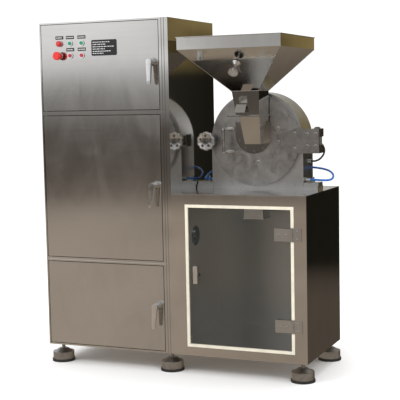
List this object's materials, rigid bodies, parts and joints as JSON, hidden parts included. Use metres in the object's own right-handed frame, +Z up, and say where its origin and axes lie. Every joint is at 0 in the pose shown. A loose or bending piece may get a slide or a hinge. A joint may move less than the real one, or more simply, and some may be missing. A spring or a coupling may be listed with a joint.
{
  "type": "hammer mill",
  "caption": "Stainless hammer mill on a glass-fronted product cabinet, with a square feed hopper, joined to a tall control and dust filter cabinet.",
  "frame": {"origin": "on the floor under the middle of the whole machine", "axes": "+X to the right seen from the front, +Y to the back, +Z up"},
  "size_m": [1.393, 0.887, 1.7],
  "materials": {
    "polished_steel": "polished stainless sheet, soft horizontal reflections",
    "brushed_steel": "satin brushed stainless",
    "cast_housing": "machined satin casting with mottled grey areas",
    "bright_chrome": "bright chrome plating",
    "red_plastic": "gloss red",
    "green_plastic": "gloss green",
    "lamp_lens": "dark red lens",
    "black_label": "matt black engraved plate",
    "switchgear": "light grey paint",
    "fan_paint": "blue grey paint",
    "motor_paint": "blue enamel",
    "filter_cloth": "needle felt",
    "foot_metal": "zinc pad over a black rubber sole",
    "white_seal": "cream white silicone",
    "clear_glass": "clear tempered glass",
    "dark_steel": "oiled dark steel",
    "black_rubber": "black rubber",
    "blue_hose": "blue polyurethane tube"
  },
  "bodies": {
    "frame": {"left_casing": "polished_steel", "left_front_frame": "polished_steel", "door_hinge_pins": "brushed_steel", "tube_sheet": "brushed_steel", "dust_shelf": "brushed_steel", "electrical_panel": "switchgear", "fan_housing": "fan_paint", "fan_motor": "motor_paint", "filter_bags": "filter_cloth", "dust_bin": "brushed_steel", "right_casing": "polished_steel", "table_top": "polished_steel", "right_front_frame": "polished_steel", "door_seal": "white_seal", "glass_hinge_blocks": "brushed_steel", "mill_housing": "cast_housing", "sieve_screen": "brushed_steel", "bearing_housing": "cast_housing", "bearings": "brushed_steel", "drive_belts": "black_rubber", "motor": "motor_paint", "belt_guard": "brushed_steel", "hinge_post": "cast_housing", "hose_fittings": "bright_chrome", "air_hoses": "blue_hose", "control_cable": "black_rubber"},
    "control_door": {"control_door": "polished_steel", "pilot_lamp": "lamp_lens", "control_bezels": "bright_chrome", "legend_plates": "black_label"},
    "filter_door": {"filter_door": "polished_steel"},
    "dust_door": {"dust_door": "polished_steel"},
    "top_lever": {"top_lever": "bright_chrome"},
    "middle_lever": {"middle_lever": "bright_chrome"},
    "bottom_lever": {"bottom_lever": "bright_chrome"},
    "emergency_stop": {"emergency_stop": "red_plastic"},
    "start_button_1": {"start_button_1": "green_plastic"},
    "start_button_2": {"start_button_2": "green_plastic"},
    "stop_button_1": {"stop_button_1": "red_plastic"},
    "stop_button_2": {"stop_button_2": "red_plastic"},
    "fan_impeller": {"fan_impeller": "brushed_steel"},
    "feet": {"levelling_feet": "foot_metal"},
    "glass_door": {"glass_door": "clear_glass", "glass_clamps": "brushed_steel"},
    "door_lock": {"door_lock": "bright_chrome"},
    "rotor": {"rotor": "dark_steel", "mill_pulley": "dark_steel"},
    "hammers_1": {"hammers_1": "dark_steel"},
    "hammers_2": {"hammers_2": "dark_steel"},
    "hammers_3": {"hammers_3": "dark_steel"},
    "hammers_4": {"hammers_4": "dark_steel"},
    "motor_pulley": {"motor_pulley": "dark_steel"},
    "mill_door": {"mill_door": "cast_housing", "hinge_arm": "cast_housing", "door_handle": "bright_chrome", "feed_chute": "polished_steel", "hopper": "polished_steel"},
    "clamp_knob": {"clamp_knob": "bright_chrome"},
    "feed_gate": {"feed_gate": "brushed_steel"},
    "gate_knob": {"gate_knob": "bright_chrome"}
  },
  "joints": [
    {"name": "control_door_hinge", "type": "hinge", "parent": "frame", "child": "control_door", "pos_m": [-0.662, -0.3725, 1.4795], "axis": [0, 0, -1], "range_deg": [0, 115]},
    {"name": "filter_door_hinge", "type": "hinge", "parent": "frame", "child": "filter_door", "pos_m": [-0.662, -0.3725, 0.8945], "axis": [0, 0, -1], "range_deg": [0, 115]},
    {"name": "dust_door_hinge", "type": "hinge", "parent": "frame", "child": "dust_door", "pos_m": [-0.662, -0.3725, 0.3125], "axis": [0, 0, -1], "range_deg": [0, 115]},
    {"name": "top_lever_turn", "type": "hinge", "parent": "control_door", "child": "top_lever", "pos_m": [-0.068, -0.3795, 1.4935], "axis": [0, 1, 0], "range_deg": [0, 90]},
    {"name": "middle_lever_turn", "type": "hinge", "parent": "filter_door", "child": "middle_lever", "pos_m": [-0.068, -0.3795, 0.9085], "axis": [0, 1, 0], "range_deg": [0, 90]},
    {"name": "bottom_lever_turn", "type": "hinge", "parent": "dust_door", "child": "bottom_lever", "pos_m": [-0.068, -0.3795, 0.3265], "axis": [0, 1, 0], "range_deg": [0, 90]},
    {"name": "emergency_stop_press", "type": "slide", "parent": "control_door", "child": "emergency_stop", "axis": [0, 1, 0], "range_m": [0, 0.004], "stiffness_N_per_m": 900},
    {"name": "start_1_press", "type": "slide", "parent": "control_door", "child": "start_button_1", "axis": [0, 1, 0], "range_m": [0, 0.004], "stiffness_N_per_m": 400},
    {"name": "start_2_press", "type": "slide", "parent": "control_door", "child": "start_button_2", "axis": [0, 1, 0], "range_m": [0, 0.004], "stiffness_N_per_m": 400},
    {"name": "stop_1_press", "type": "slide", "parent": "control_door", "child": "stop_button_1", "axis": [0, 1, 0], "range_m": [0, 0.004], "stiffness_N_per_m": 400},
    {"name": "stop_2_press", "type": "slide", "parent": "control_door", "child": "stop_button_2", "axis": [0, 1, 0], "range_m": [0, 0.004], "stiffness_N_per_m": 400},
    {"name": "fan_spin", "type": "hinge", "parent": "frame", "child": "fan_impeller", "pos_m": [-0.3345, -0.0295, 1.45], "axis": [0, 0, 1], "continuous": true},
    {"name": "feet_level", "type": "slide", "parent": "frame", "child": "feet", "axis": [0, 0, -1], "range_m": [0, 0.02]},
    {"name": "glass_door_hinge", "type": "hinge", "parent": "frame", "child": "glass_door", "pos_m": [0.615, -0.3855, 0.489], "axis": [0, 0, 1], "range_deg": [0, 115]},
    {"name": "door_lock_turn", "type": "hinge", "parent": "glass_door", "child": "door_lock", "pos_m": [0.139, -0.3795, 0.489], "axis": [0, 1, 0], "range_deg": [0, 90]},
    {"name": "rotor_spin", "type": "hinge", "parent": "frame", "child": "rotor", "pos_m": [0.334, 0.0205, 1.108], "axis": [0, 1, 0], "continuous": true},
    {"name": "motor_spin", "type": "hinge", "parent": "frame", "child": "motor_pulley", "pos_m": [0.334, 0.2205, 0.255], "axis": [0, 1, 0], "continuous": true},
    {"name": "mill_door_hinge", "type": "hinge", "parent": "frame", "child": "mill_door", "pos_m": [0.636, -0.0445, 1.108], "axis": [0, 0, 1], "range_deg": [0, 110]},
    {"name": "clamp_knob_turn", "type": "hinge", "parent": "mill_door", "child": "clamp_knob", "pos_m": [0.098, -0.1195, 1.108], "axis": [0, 1, 0], "continuous": true},
    {"name": "feed_gate_slide", "type": "slide", "parent": "mill_door", "child": "feed_gate", "axis": [0, 0.7263, -0.6874], "range_m": [0, 0.06]},
    {"name": "gate_knob_turn", "type": "hinge", "parent": "feed_gate", "child": "gate_knob", "pos_m": [0.353, -0.37032, 1.47653], "axis": [0, -0.6874, -0.7263], "continuous": true},
    {"name": "hammer_swing_1", "type": "hinge", "parent": "rotor", "child": "hammers_1", "pos_m": [0.434, -0.0095, 1.108], "axis": [0, 1, 0], "range_deg": [-40, 40]},
    {"name": "hammer_swing_2", "type": "hinge", "parent": "rotor", "child": "hammers_2", "pos_m": [0.334, -0.0095, 1.208], "axis": [0, 1, 0], "range_deg": [-40, 40]},
    {"name": "hammer_swing_3", "type": "hinge", "parent": "rotor", "child": "hammers_3", "pos_m": [0.234, -0.0095, 1.108], "axis": [0, 1, 0], "range_deg": [-40, 40]},
    {"name": "hammer_swing_4", "type": "hinge", "parent": "rotor", "child": "hammers_4", "pos_m": [0.334, -0.0095, 1.008], "axis": [0, 1, 0], "range_deg": [-40, 40]}
  ],
  "couplings": [
    {"joint": "motor_spin", "follows": "rotor_spin", "ratio": 0.6}
  ]
}
